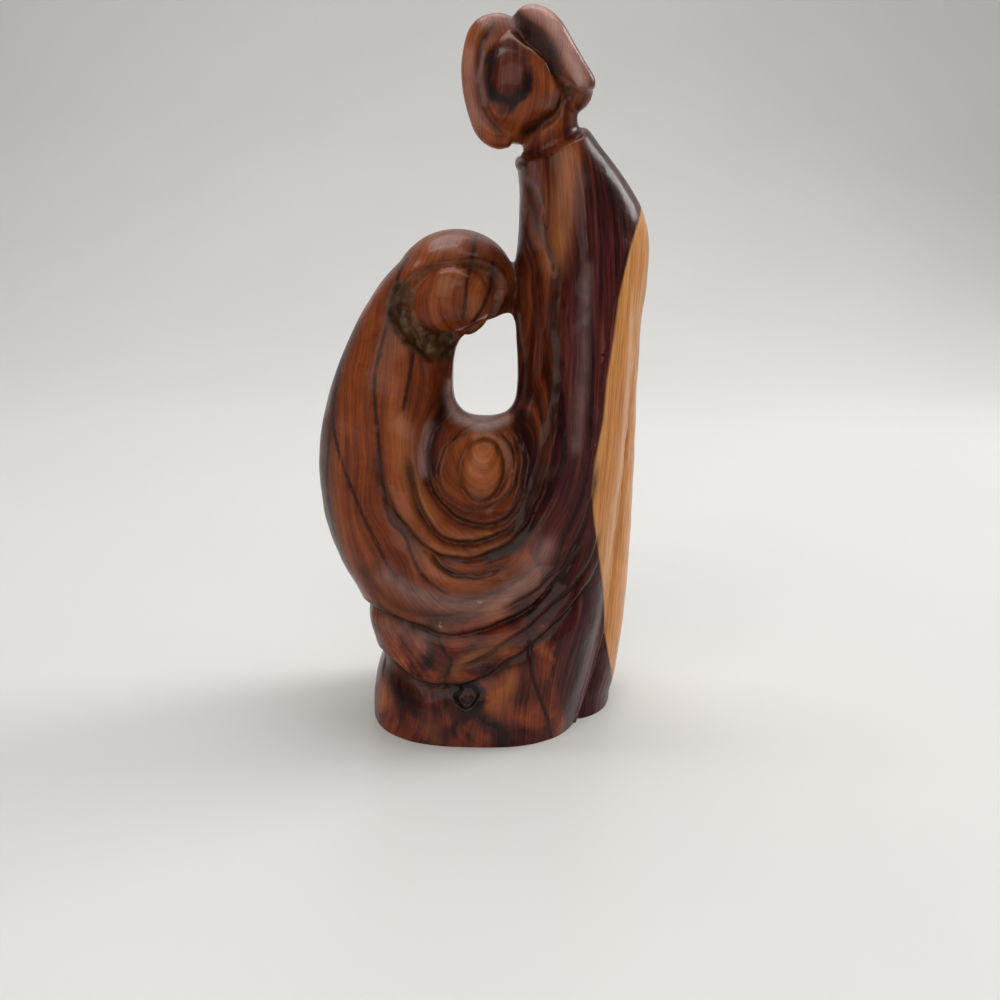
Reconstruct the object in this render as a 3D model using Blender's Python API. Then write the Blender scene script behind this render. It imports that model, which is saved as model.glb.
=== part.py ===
# Holy family figurine, carved from one piece of olive wood.
# A standing figure at the right leans its head over a bowed, hooded figure at the left.
# The bowed figure's arms and shawl sweep round a swaddled child, and a gap goes right through
# between the two figures above the child. The faces are blank ovals. The flat foot stands on z = 0.
#
# The carving is one free form, so its pose, proportions and folds are given in hundredths of its
# own height, and HEIGHT sizes it as a whole. x runs to the viewer's right, y away from the viewer
# and z upwards.

import math

import bmesh
import bpy
import numpy as np
from mathutils import Euler, Matrix, Vector

HEIGHT = 0.165          # height of the whole carving, metres
CELL = 0.52             # grain of the roughed-out block, in hundredths
FACETS = 9300           # facets left on the finished solid
FOOT_DEPTH = 3.0        # how far the block runs on below the foot before it is sawn flat
RING = 72               # corners round one section of the block
SQUARENESS = 2.25       # how square the stacked sections are, 2 being an ellipse
CLOAK_SQUARENESS = 2.6
GAP_REACH = 25.0        # how far the cut for the gap reaches to the front and to the back
GAP_CREST = -3.0        # depth at which the gap is narrowest
GAP_LIP = 9.0           # distance from the crest to where its lips have opened out
GAP_FLARE = 0.43        # how far the lower lips open out there, as a share of the gap's half size
GAP_FLARE_END = 1.3     # share of that distance past which the lips open no further
GAP_PLAIN = 3.0         # height over the gap's middle above which its sides stay straight
GAP_EASE = 5.0          # height over which they turn from straight to opening
GAP_STEPS = 12          # slices in the cut for the gap
NAME = "holy_family_carving"

# Each row of a stacked form is height, left edge, right edge, front edge, back edge.
ROBE = [
    (-FOOT_DEPTH, -8.0, 21.2, -11.2, 15.6),
    (2.0, -8.0, 21.6, -11.0, 15.5),
    (5.0, -8.0, 22.3, -10.7, 15.3),
    (14.0, -7.0, 23.2, -10.2, 14.8),
    (24.0, -4.0, 23.6, -9.8, 14.3),
    (36.0, -1.0, 23.6, -10.4, 13.5),
    (42.6, 1.4, 23.5, -10.7, 12.9),
    (46.2, 4.6, 23.4, -10.8, 12.6),
    (50.0, 5.6, 23.3, -10.8, 12.2),
    (58.0, 5.2, 23.4, -10.8, 11.6),
    (65.0, 4.9, 23.9, -10.6, 11.0),
    (70.0, 5.4, 23.8, -10.2, 10.6),
    (74.0, 5.5, 22.6, -9.8, 10.0),
    (77.0, 5.4, 20.8, -9.4, 9.4),
    (80.0, 5.1, 18.4, -8.9, 8.8),
    (83.0, 4.9, 15.8, -8.4, 8.0),
    (87.0, 5.0, 12.4, -7.6, 7.0),
]
CLOAK = [
    (-FOOT_DEPTH, -14.9, 15.0, -18.0, 13.4),
    (0.0, -15.0, 15.7, -17.9, 13.3),
    (3.0, -15.0, 16.6, -17.6, 13.2),
    (6.2, -14.6, 17.4, -17.2, 12.9),
    (9.4, -13.7, 18.1, -16.8, 12.7),
    (12.2, -14.8, 18.6, -16.7, 12.9),
    (15.6, -15.8, 19.1, -16.6, 12.8),
    (19.5, -14.6, 19.6, -15.6, 12.0),
    (24.0, -10.0, 20.0, -14.8, 10.0),
    (30.0, -4.0, 20.3, -14.0, 8.0),
    (40.0, 4.0, 20.9, -13.0, 4.0),
    (50.0, 8.0, 21.3, -12.2, 2.0),
    (60.0, 9.0, 21.3, -11.4, 0.0),
    (70.0, 9.6, 20.8, -10.3, 0.0),
    (78.0, 11.0, 18.0, -8.8, 0.0),
]
BOWED_BODY = [
    (16.0, -13.6, 6.0, -12.0, 10.0),
    (17.6, -15.9, 9.0, -14.6, 12.0),
    (19.8, -17.7, 12.0, -15.7, 13.0),
    (22.8, -19.7, 14.0, -15.9, 13.4),
    (25.6, -21.1, 14.0, -15.3, 13.4),
    (28.4, -22.1, 13.0, -14.6, 13.2),
    (31.0, -22.7, 12.0, -13.9, 12.9),
    (37.0, -23.3, 10.0, -12.7, 12.4),
    (42.0, -22.9, 5.0, -12.0, 11.8),
    (45.5, -22.1, -2.2, -11.4, 11.2),
    (50.0, -20.8, -3.6, -10.8, 10.4),
    (54.0, -19.2, -3.1, -10.2, 9.6),
    (58.0, -17.3, -2.2, -9.6, 9.0),
    (62.0, -14.9, -1.0, -9.0, 8.4),
    (65.0, -12.5, 0.0, -8.2, 7.6),
    (68.0, -9.4, 0.0, -6.0, 5.6),
]

# Rounded masses: centre, half sizes, tilt about y in degrees.
ROUNDS = [
    ((-3.5, 0.0, 62.9), (8.8, 9.2, 8.0), -15.0),      # hood of the bowed figure
    ((3.6, 0.6, 63.2), (2.8, 5.6, 3.4), 0.0),         # where it rests against the robe
    ((0.9, -4.6, 36.8), (8.4, 7.6, 8.0), 0.0),        # swaddled child
    ((1.0, 0.3, 51.5), (7.8, 6.4, 10.8), 0.0),        # wood left round the gap
    ((5.5, 1.0, 90.9), (7.4, 8.4, 7.5), -6.0),        # skull of the standing figure
    ((4.6, -1.4, 89.1), (5.8, 7.1, 6.8), 0.0),        # its blank face
]

# Rolls of hair and the neck: rows of x, y, z and radius along the roll.
ROLLS = [
    [(4.3, -2.8, 96.5, 1.0), (2.6, -3.0, 96.7, 1.9), (0.4, -3.2, 95.7, 2.2), (-0.6, -3.2, 93.4, 2.0),
     (-0.9, -3.2, 90.5, 1.8), (-0.4, -3.2, 87.1, 1.7), (0.8, -3.4, 84.2, 1.8), (2.5, -3.6, 83.0, 1.7),
     (4.2, -3.6, 82.9, 1.2)],
    [(4.4, -3.4, 97.2, 1.1), (6.3, -3.4, 97.4, 2.3), (8.6, -3.4, 96.0, 2.5), (10.6, -3.4, 93.5, 2.2),
     (12.3, -3.5, 91.2, 2.1), (13.3, -3.6, 89.7, 2.1), (13.5, -3.6, 88.9, 1.7)],
    [(9.6, 0.6, 92.6, 3.2), (11.8, -0.6, 90.6, 3.0), (12.6, -1.2, 89.2, 2.6), (12.4, -1.4, 88.2, 2.1),
     (11.8, -1.4, 87.6, 1.4)],
    [(9.5, 0.0, 76.0, 3.8), (9.6, -0.4, 81.0, 3.7), (9.4, -0.4, 85.0, 3.9), (8.8, 0.0, 88.0, 4.3)],
]

# The gap goes right through between the figures. The wood is left whole there and cut out
# to this outline, x and z.
GAP = [(4.6, 59.6), (2.7, 59.0), (0.6, 57.9), (-1.4, 56.8), (-2.8, 55.2), (-3.4, 52.8),
       (-3.5, 50.2), (-3.4, 48.0), (-2.8, 46.4), (-1.5, 45.2), (0.4, 44.8), (2.6, 44.9),
       (4.4, 45.6), (5.4, 47.2), (5.7, 49.4), (5.7, 52.2), (5.5, 55.4), (5.3, 58.0)]

# The collar is a slanting cut across the top of the robe.
COLLAR_POINT = (9.6, 0.0, 82.4)
COLLAR_SLOPE = 0.55     # rise to the right
COLLAR_FALL = 0.22      # rise to the back

# Cloth edges: how far the edge stands up, how deep the hollow under it is, and how far each
# of the two reaches.
SHAWL_STEP = (0.8, 1.2, 2.0, 1.5)
LAP_STEP = (0.7, 1.1, 1.8, 1.5)
BACK_FOLD_STEP = (0.5, 0.7, 1.6, 1.4)

# Carved lines: points are x, z along the line, as seen from the front.
SHAWL_EDGE = [(-19.2, 15.4), (-17.2, 17.2), (-15.2, 18.6), (-12.6, 18.6), (-10.1, 17.6),
              (-7.3, 16.9), (-4.3, 16.4), (-1.4, 16.5), (1.6, 17.2), (6.3, 19.3),
              (9.0, 21.3), (11.4, 23.7), (13.2, 26.0), (14.8, 28.2), (16.0, 31.5)]
SHAWL_BAND = [(3.4, 19.8), (7.8, 22.2), (10.0, 23.9), (12.1, 26.2), (13.9, 28.9), (15.2, 31.8), (16.2, 36.0),
              (16.8, 41.0)]
LAP_EDGE = [(-17.0, 8.4), (-15.2, 10.2), (-13.0, 11.3), (-11.4, 10.6), (-9.0, 9.4), (-6.7, 8.9), (-4.0, 9.0),
            (0.9, 9.9), (5.4, 12.7), (8.9, 15.2), (13.2, 19.1), (16.8, 23.7), (18.6, 28.5)]
LAP_FOLD = [(-3.7, 11.7), (-1.5, 11.9), (1.4, 13.2), (5.3, 15.7), (9.6, 18.8), (13.1, 21.9), (16.4, 26.2),
            (17.6, 32.0)]
ARM_FOLD = [(-13.4, 44.0), (-12.8, 37.8), (-10.9, 33.2), (-7.6, 29.4), (-3.9, 27.2), (0.9, 27.1), (4.8, 28.8),
            (7.9, 32.5), (9.4, 37.0), (10.2, 44.0)]
SLEEVE_FOLD = [(-9.2, 42.0), (-8.2, 36.8), (-6.9, 32.6), (-3.9, 29.7), (0.3, 29.2), (4.2, 30.6), (6.4, 33.2)]
LAP_CREASE = [(-5.8, 28.6), (-5.0, 26.6), (-3.3, 25.2), (-1.5, 24.7), (0.9, 24.7), (3.0, 25.2), (6.0, 26.6)]
SWADDLE_RIM = [(-3.6, 46.2), (-5.8, 43.8), (-6.5, 40.0), (-5.6, 36.1), (-2.4, 32.7), (1.8, 31.3), (5.5, 33.6),
               (6.9, 38.2), (6.0, 42.6), (4.2, 45.0)]
SWADDLE_CENTRE = (0.4, 38.6)
SWADDLE_HALF = (5.3, 5.1)
CHILD_FACE = (1.1, 38.5)
CHILD_FACE_HALF = (3.0, 4.1)
CHILD_FACE_RISE = 0.9
HOOD_OPENING = [(-12.2, 58.7), (-10.7, 56.7), (-9.0, 55.1), (-7.3, 53.8), (-5.9, 53.0),
                (-3.8, 54.6), (-2.6, 56.0), (2.0, 58.4), (3.6, 60.7), (4.1, 63.4), (3.0, 65.5),
                (0.2, 67.0), (-3.0, 66.6), (-5.3, 66.2), (-7.8, 65.3), (-9.5, 64.2), (-11.4, 61.8)]
HOOD_DEPTH = 1.3
BOWED_FACE = (-3.1, 61.3)
BOWED_FACE_HALF = (5.5, 4.8)
BOWED_FACE_RISE = 2.7
CHIN_HOLLOW = [(-10.4, 61.8), (-10.6, 59.2), (-9.2, 57.2), (-7.0, 55.6), (-4.6, 54.8)]
SKIRT_EDGE = [(15.0, -2.0), (16.6, 3.0), (17.9, 7.0), (18.8, 11.0), (19.6, 16.0), (20.2, 21.0), (20.6, 27.0),
              (21.0, 34.0), (21.4, 42.0), (21.6, 50.0), (21.6, 58.0)]
FRONT_PANEL = [(12.0, 68.8), (11.4, 66.0), (10.6, 61.6), (10.7, 57.6), (10.9, 51.0),
               (10.6, 45.5), (9.5, 37.7), (8.6, 34.3), (7.3, 31.6), (4.8, 29.2)]
FRONT_FLUTE = [(6.5, 76.7), (6.9, 70.0), (7.6, 63.0), (8.4, 57.0), (9.0, 49.0), (8.8, 41.4)]
SLEEVE_SLIT = [(6.4, 78.0), (7.9, 72.7), (9.0, 69.5), (10.2, 66.6), (10.5, 64.0)]
ROBE_CREST = [(12.9, 78.0), (13.8, 69.5), (14.7, 61.8), (15.1, 55.0), (15.2, 48.6),
              (14.9, 41.0), (13.6, 34.0)]
SIDE_FLUTE = [(22.3, 66.0), (22.2, 58.0), (22.0, 48.0), (21.6, 36.0), (21.0, 24.0), (20.4, 14.0)]
HAIR_LEFT = [(3.4, 97.6), (1.7, 96.4), (0.6, 94.8), (0.1, 93.2), (-0.1, 91.2), (0.1, 88.5), (0.8, 86.0),
             (2.2, 84.0), (4.3, 82.9)]
HAIR_RIGHT = [(3.8, 97.2), (5.5, 95.1), (7.1, 94.2), (9.2, 92.5), (10.6, 90.4), (11.8, 88.9), (13.2, 88.6)]
JAW = [(11.2, 88.8), (10.7, 87.4), (9.8, 85.9), (7.7, 84.0), (5.0, 83.0)]

COLLAR_CORNER = (5.0, 80.2)
CORNER_HALF = (1.7, 1.4)

# The same for the plainer back.
SHAWL_BACK = [(-19.2, 15.4), (-17.0, 17.4), (-12.0, 17.6), (-6.0, 17.8), (0.0, 19.6),
              (5.0, 23.0), (8.6, 28.0), (10.4, 35.0), (10.8, 43.0)]
LAP_BACK = [(-17.0, 8.4), (-14.6, 10.4), (-10.0, 10.6), (-4.0, 10.8), (3.0, 12.8), (8.6, 16.6), (12.2, 23.0),
            (13.4, 31.0)]
BACK_FOLDS = [
    [(-19.0, 48.0), (-18.6, 38.0), (-14.6, 28.6), (-7.0, 24.0), (1.0, 24.6)],
    [(-14.6, 54.0), (-14.4, 42.0), (-10.6, 33.0), (-4.0, 29.4), (3.6, 31.4)],
]
BACK_FLUTES = [
    [(9.0, 76.0), (9.4, 62.0), (10.2, 50.0), (12.0, 38.0)],
    [(14.0, 78.0), (14.6, 60.0), (15.4, 40.0), (16.0, 20.0), (15.6, 4.0)],
    [(19.0, 73.0), (19.8, 56.0), (20.0, 38.0), (19.6, 20.0), (19.0, 4.0)],
]
BACK_HAIR = [
    [(2.6, 97.0), (0.6, 92.0), (1.2, 86.0)],
    [(5.6, 98.0), (5.0, 91.0), (6.0, 84.5)],
    [(8.6, 97.0), (9.8, 91.0), (10.6, 86.5)],
]


def through(points, count):
    """Smooth line through the points, as evenly spaced rows."""
    p = np.array(points, dtype=float)
    p = np.vstack([2 * p[0] - p[1], p, 2 * p[-1] - p[-2]])
    rows = []
    for i in range(1, len(p) - 2):
        for t in np.linspace(0.0, 1.0, 24, endpoint=False):
            a = 2 * p[i]
            b = (p[i + 1] - p[i - 1]) * t
            c = (2 * p[i - 1] - 5 * p[i] + 4 * p[i + 1] - p[i + 2]) * t ** 2
            d = (3 * p[i] - p[i - 1] - 3 * p[i + 1] + p[i + 2]) * t ** 3
            rows.append((a + b + c + d) / 2)
    rows.append(p[-2])
    rows = np.array(rows)
    steps = np.linalg.norm(np.diff(rows, axis=0), axis=1)
    along = np.concatenate([[0.0], np.cumsum(steps)])
    even = np.linspace(0.0, along[-1], count)
    return np.column_stack([np.interp(even, along, rows[:, k]) for k in range(rows.shape[1])])


def skin(rings, name):
    """Closed form over a stack of rings with the same number of corners."""
    shape = bmesh.new()
    loops = [[shape.verts.new(p) for p in ring] for ring in rings]
    for low, high in zip(loops, loops[1:]):
        for i in range(len(low)):
            j = (i + 1) % len(low)
            shape.faces.new((low[i], low[j], high[j], high[i]))
    shape.faces.new(loops[0][::-1])
    shape.faces.new(loops[-1])
    bmesh.ops.recalc_face_normals(shape, faces=shape.faces)
    mesh = bpy.data.meshes.new(name)
    shape.to_mesh(mesh)
    shape.free()
    return mesh


def stacked(rows, name, squareness=SQUARENESS):
    """Upright form from rows of height, left, right, front and back."""
    rings = []
    turn = np.linspace(0.0, 2 * math.pi, RING, endpoint=False)
    c = np.sign(np.cos(turn)) * np.abs(np.cos(turn)) ** (2 / squareness)
    s = np.sign(np.sin(turn)) * np.abs(np.sin(turn)) ** (2 / squareness)
    for z, left, right, front, back in through(rows, 60):
        x = (left + right) / 2 + (right - left) / 2 * c
        y = (front + back) / 2 + (back - front) / 2 * s
        rings.append([(x[i], y[i], z) for i in range(RING)])
    return skin(rings, name)


def rolled(rows, name):
    """Roll of changing thickness along a bent line."""
    side = Vector((0.0, 1.0, 0.0))
    path = through(rows, 26)
    rings = []
    for i, (x, y, z, radius) in enumerate(path):
        ahead = path[min(i + 1, len(path) - 1)][:3] - path[max(i - 1, 0)][:3]
        over = Vector(ahead).cross(side).normalized()
        rings.append([Vector((x, y, z)) + (math.cos(a) * side + math.sin(a) * over) * float(radius)
                      for a in np.linspace(0.0, 2 * math.pi, 24, endpoint=False)])
    return skin(rings, name)


def rounded(centre, half, tilt, name):
    """Egg-like mass."""
    shape = bmesh.new()
    bmesh.ops.create_uvsphere(shape, u_segments=48, v_segments=32, radius=1.0)
    place = Matrix.Translation(centre) @ Euler((0.0, math.radians(tilt), 0.0)).to_matrix().to_4x4()
    bmesh.ops.transform(shape, matrix=place @ Matrix.Diagonal((*half, 1.0)), verts=shape.verts)
    mesh = bpy.data.meshes.new(name)
    shape.to_mesh(mesh)
    shape.free()
    return mesh


def sawn(mesh, point, normal):
    """Cut off what lies beyond the plane and close the cut."""
    shape = bmesh.new()
    shape.from_mesh(mesh)
    geometry = shape.verts[:] + shape.edges[:] + shape.faces[:]
    bmesh.ops.bisect_plane(shape, geom=geometry, plane_co=point, plane_no=normal, clear_outer=True)
    rim = [e for e in shape.edges if e.is_boundary]
    bmesh.ops.holes_fill(shape, edges=rim, sides=0)
    bmesh.ops.recalc_face_normals(shape, faces=shape.faces)
    shape.to_mesh(mesh)
    shape.free()


def applied(carving, kind, **settings):
    """Add one modifier and make its result the mesh."""
    modifier = carving.modifiers.new(kind.title(), kind)
    for key, value in settings.items():
        setattr(modifier, key, value)
    result = bpy.data.meshes.new_from_object(carving.evaluated_get(bpy.context.evaluated_depsgraph_get()))
    carving.modifiers.clear()
    carving.data = result


def near(line, x, z):
    """Distance to a carved line, side of it (+ left of its run) and place along it from 0 to 1."""
    path = through(line, 90)
    best = np.full(len(x), 1e9)
    side = np.zeros(len(x))
    along = np.zeros(len(x))
    for i in range(len(path) - 1):
        ax, az = path[i]
        dx, dz = path[i + 1] - path[i]
        t = np.clip(((x - ax) * dx + (z - az) * dz) / (dx * dx + dz * dz), 0.0, 1.0)
        gap = np.hypot(x - ax - t * dx, z - az - t * dz)
        closer = gap < best
        best = np.where(closer, gap, best)
        side = np.where(closer, np.sign(dx * (z - az) - dz * (x - ax)), side)
        along = np.where(closer, (i + t) / (len(path) - 1), along)
    return best, side, along


def ease(value):
    value = np.clip(value, 0.0, 1.0)
    return value * value * (3 - 2 * value)


def ends(along, first, last):
    """Fade a carved line in over its first share and out over its last share."""
    return ease(along / max(first, 1e-6)) * ease((1 - along) / max(last, 1e-6))


def swell(x, z, centre, half, rise):
    """Dome standing up inside an oval."""
    across = ((x - centre[0]) / half[0]) ** 2 + ((z - centre[1]) / half[1]) ** 2
    return rise * np.sqrt(np.clip(1.0 - across, 0.0, 1.0))


def hollow(x, z, outline, depth, slope):
    """Floor let in all over a closed outline that runs with its inside on the left."""
    gap, side, along = near(outline + outline[:1], x, z)
    return -depth * ease(gap * side / slope)


def crease(x, z, line, depth, width, first=0.15, last=0.15):
    gap, side, along = near(line, x, z)
    along = np.where(first + last > 0, along, 0.5)
    return -depth * np.exp(-((gap / width) ** 2)) * ends(along, first, last)


def overlap(x, z, line, rise, drop, above, below, first=0.12, last=0.2):
    """Cloth edge that stands proud on the left of the line's run and shades what lies under it."""
    gap, side, along = near(line, x, z)
    along = np.where(first + last > 0, along, 0.5)
    signed = gap * side
    upper = ease(signed / 0.9 + 0.5)
    lifted = rise * np.exp(-gap / above) * upper
    sunk = drop * np.exp(-gap / below) * (1 - upper)
    return (lifted - sunk) * ends(along, first, last)


def ring(centre, half):
    """Oval line that closes on itself."""
    return [(centre[0] + half[0] * math.cos(a), centre[1] + half[1] * math.sin(a))
            for a in np.linspace(0.0, 2 * math.pi, 17)]


def carve(points, normals):
    """Move the surface in and out for the folds of the cloth."""
    x, y, z = points.T
    facing = ease((0.3 - normals[:, 1]) / 0.6)
    front = np.zeros(len(points))
    front += overlap(x, z, SHAWL_EDGE, *SHAWL_STEP, 0.22, 0.3)
    front += overlap(x, z, SHAWL_BAND, 0.35, 0.5, 1.2, 0.8)
    front += overlap(x, z, LAP_EDGE, *LAP_STEP, 0.22, 0.3)
    front += overlap(x, z, LAP_FOLD, 0.4, 0.5, 1.0, 0.9)
    front += overlap(x, z, ARM_FOLD, 0.6, 0.8, 1.2, 1.2, 0.3, 0.3)
    front += overlap(x, z, SLEEVE_FOLD, 0.9, 1.0, 1.0, 0.9, 0.35, 0.2)
    front += crease(x, z, LAP_CREASE, 0.6, 0.7, 0.2, 0.3)
    front += overlap(x, z, SWADDLE_RIM, 0.6, 0.8, 0.8, 1.2, 0.05, 0.05)
    front += overlap(x, z, ring(SWADDLE_CENTRE, SWADDLE_HALF), 0.6, 0.5, 1.2, 0.6, 0.0, 0.0)
    front += swell(x, z, CHILD_FACE, CHILD_FACE_HALF, CHILD_FACE_RISE)
    front += crease(x, z, ring(CHILD_FACE, CHILD_FACE_HALF), 0.4, 0.5, 0.0, 0.0)
    front += hollow(x, z, HOOD_OPENING, HOOD_DEPTH, 1.0)
    front += swell(x, z, BOWED_FACE, BOWED_FACE_HALF, BOWED_FACE_RISE)
    front += crease(x, z, CHIN_HOLLOW, 0.9, 1.3)
    front += overlap(x, z, SKIRT_EDGE, 0.3, 1.0, 1.8, 1.3, 0.02, 0.35)
    front += crease(x, z, FRONT_PANEL, 0.9, 1.0)
    front += crease(x, z, FRONT_FLUTE, 0.4, 0.8)
    front += crease(x, z, SLEEVE_SLIT, 0.5, 0.6)
    front -= crease(x, z, ROBE_CREST, 0.5, 1.5)
    front += crease(x, z, SIDE_FLUTE, 0.35, 0.8)
    front += crease(x, z, HAIR_LEFT, 0.5, 0.7)
    front += crease(x, z, HAIR_RIGHT, 1.0, 0.8)
    front += crease(x, z, JAW, 0.6, 0.6)
    front += swell(x, z, COLLAR_CORNER, CORNER_HALF, 0.6)
    back = np.zeros(len(points))
    back += overlap(x, z, SHAWL_BACK, *SHAWL_STEP, 0.22, 0.3)
    back += overlap(x, z, LAP_BACK, *LAP_STEP, 0.22, 0.3)
    for line in BACK_FOLDS:
        back += overlap(x, z, line, *BACK_FOLD_STEP, 0.3, 0.3)
    for line in BACK_FLUTES:
        back += crease(x, z, line, 0.8, 1.5, 0.2, 0.15)
    for line in BACK_HAIR:
        back += crease(x, z, line, 0.5, 0.9)
    return front * facing + back * (1 - facing)


def slot_form(outline, depth):
    """Plug for the gap. It is narrowest at the crest, and its lower half opens to the front and back."""
    path = through(outline + outline[:1], 64)[:-1]
    middle = path.mean(axis=0)
    widest = GAP_LIP * GAP_FLARE_END
    depths = [-depth] + list(np.linspace(GAP_CREST - widest, GAP_CREST + widest, GAP_STEPS + 1)) + [depth]
    rings = []
    for y in depths:
        spread = GAP_FLARE * min(abs(y - GAP_CREST) / GAP_LIP, GAP_FLARE_END) ** 2
        lips = spread * np.clip((middle[1] + GAP_PLAIN - path[:, 1]) / GAP_EASE, 0.0, 1.0)
        wider = path + (path - middle) * lips[:, None]
        rings.append([(x, y, z) for x, z in wider])
    return skin(rings, "plug")


def rough_block():
    """All the masses joined into one closed skin."""
    robe = stacked(ROBE, "robe")
    slope = Vector((-COLLAR_SLOPE, -COLLAR_FALL, 1.0)).normalized()
    sawn(robe, COLLAR_POINT, slope)
    masses = [robe, stacked(CLOAK, "cloak", CLOAK_SQUARENESS), stacked(BOWED_BODY, "bowed body")]
    for centre, half, tilt in ROUNDS:
        masses.append(rounded(centre, half, tilt, "round"))
    for rows in ROLLS:
        masses.append(rolled(rows, "roll"))
    whole = bmesh.new()
    for mesh in masses:
        whole.from_mesh(mesh)
        bpy.data.meshes.remove(mesh)
    block = bpy.data.meshes.new(NAME)
    whole.to_mesh(block)
    whole.free()
    return block


def wood():
    material = bpy.data.materials.new("olive_wood")
    material.use_nodes = True
    shader = material.node_tree.nodes["Principled BSDF"]
    shader.inputs["Base Color"].default_value = (0.17, 0.060, 0.028, 1.0)
    shader.inputs["Roughness"].default_value = 0.22
    shader.inputs["Metallic"].default_value = 0.0
    return material


for old in list(bpy.data.objects):
    bpy.data.objects.remove(old, do_unlink=True)

carving = bpy.data.objects.new(NAME, rough_block())
bpy.context.scene.collection.objects.link(carving)
applied(carving, "REMESH", mode="VOXEL", voxel_size=CELL)
plug = bpy.data.objects.new("plug", slot_form(GAP, GAP_REACH))
bpy.context.scene.collection.objects.link(plug)
applied(carving, "BOOLEAN", operation="DIFFERENCE", solver="EXACT", object=plug)
bpy.data.objects.remove(plug, do_unlink=True)
applied(carving, "REMESH", mode="VOXEL", voxel_size=CELL)
applied(carving, "SMOOTH", factor=0.5, iterations=5)

mesh = carving.data
count = len(mesh.vertices)
points = np.zeros(count * 3)
normals = np.zeros(count * 3)
mesh.vertices.foreach_get("co", points)
mesh.vertices.foreach_get("normal", normals)
points = points.reshape(-1, 3)
normals = normals.reshape(-1, 3)
points = points + normals * carve(points, normals)[:, None]
mesh.vertices.foreach_set("co", points.ravel())
mesh.update()

applied(carving, "SMOOTH", factor=0.5, iterations=2)
applied(carving, "TRIANGULATE")
applied(carving, "DECIMATE", decimate_type="COLLAPSE", ratio=FACETS / len(carving.data.polygons))
sawn(carving.data, (0.0, 0.0, 0.0), (0.0, 0.0, -1.0))

# Bring the foot to z = 0, the middle to x = y = 0 and the size to metres.
corners = np.array([v.co for v in carving.data.vertices])
low = corners.min(axis=0)
high = corners.max(axis=0)
middle = Vector(((low[0] + high[0]) / 2, (low[1] + high[1]) / 2, low[2]))
size = HEIGHT / (high[2] - low[2])
carving.data.transform(Matrix.Scale(size, 4) @ Matrix.Translation(-middle))
carving.data.materials.clear()
carving.data.materials.append(wood())
carving.data.shade_smooth()
carving.data.set_sharp_from_angle(angle=math.radians(60))
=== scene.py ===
import math
import bmesh
import bpy
import numpy as np
from mathutils import Euler, Matrix, Vector, noise


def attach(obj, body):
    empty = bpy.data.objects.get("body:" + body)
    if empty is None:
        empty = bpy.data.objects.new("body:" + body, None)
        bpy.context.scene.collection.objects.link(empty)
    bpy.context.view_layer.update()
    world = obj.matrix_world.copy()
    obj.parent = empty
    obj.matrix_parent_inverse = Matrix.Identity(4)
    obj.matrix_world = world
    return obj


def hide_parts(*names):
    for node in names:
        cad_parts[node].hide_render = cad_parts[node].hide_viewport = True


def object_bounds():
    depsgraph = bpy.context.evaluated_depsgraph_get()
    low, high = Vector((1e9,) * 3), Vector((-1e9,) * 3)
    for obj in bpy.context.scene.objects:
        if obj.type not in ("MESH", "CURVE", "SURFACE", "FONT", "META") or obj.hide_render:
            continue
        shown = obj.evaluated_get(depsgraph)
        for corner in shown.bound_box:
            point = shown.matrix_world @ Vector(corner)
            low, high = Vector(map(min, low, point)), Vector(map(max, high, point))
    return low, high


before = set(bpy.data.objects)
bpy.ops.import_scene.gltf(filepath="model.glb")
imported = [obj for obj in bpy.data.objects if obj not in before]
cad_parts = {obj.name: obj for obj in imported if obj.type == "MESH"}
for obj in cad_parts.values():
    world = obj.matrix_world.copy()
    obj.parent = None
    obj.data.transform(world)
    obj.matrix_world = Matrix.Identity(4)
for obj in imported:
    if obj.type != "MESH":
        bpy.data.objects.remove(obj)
solid_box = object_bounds()

# The block. The carver saws a length of olive branch, roughs out the tall leaning robe and the
# flared cloak in front of it, and cuts the collar slanting across the top. All of the carving is
# measured in hundredths of its height: x to the right, y to the back, z upwards.
ROBE = [
    (-3.0, -8.0, 21.2, -11.2, 15.6), (2.0, -8.0, 21.6, -11.0, 15.5), (5.0, -8.0, 22.3, -10.7, 15.3),
    (14.0, -7.0, 23.2, -10.2, 14.8), (24.0, -4.0, 23.6, -9.8, 14.3), (36.0, -1.0, 23.6, -10.4, 13.5),
    (42.6, 1.4, 23.5, -10.7, 12.9), (46.2, 4.6, 23.4, -10.8, 12.6), (50.0, 5.6, 23.3, -10.8, 12.2),
    (58.0, 5.2, 23.4, -10.8, 11.6), (65.0, 4.9, 23.9, -10.6, 11.0), (70.0, 5.4, 23.8, -10.2, 10.6),
    (74.0, 5.5, 22.6, -9.8, 10.0), (77.0, 5.4, 20.8, -9.4, 9.4), (80.0, 5.1, 18.4, -8.9, 8.8),
    (83.0, 4.9, 15.8, -8.4, 8.0), (87.0, 5.0, 12.4, -7.6, 7.0),
]
CLOAK = [
    (-3.0, -14.9, 15.0, -18.0, 13.4), (0.0, -15.0, 15.7, -17.9, 13.3), (3.0, -15.0, 16.6, -17.6, 13.2),
    (6.2, -14.6, 17.4, -17.2, 12.9), (9.4, -13.7, 18.1, -16.8, 12.7), (12.2, -14.8, 18.6, -16.7, 12.9),
    (15.6, -15.8, 19.1, -16.6, 12.8), (19.5, -14.6, 19.6, -15.6, 12.0), (24.0, -10.0, 20.0, -14.8, 10.0),
    (30.0, -4.0, 20.3, -14.0, 8.0), (40.0, 4.0, 20.9, -13.0, 4.0), (50.0, 8.0, 21.3, -12.2, 2.0),
    (60.0, 9.0, 21.3, -11.4, 0.0), (70.0, 9.6, 20.8, -10.3, 0.0), (78.0, 11.0, 18.0, -8.8, 0.0),
]
COLLAR_POINT = (9.6, 0.0, 82.4)
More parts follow.
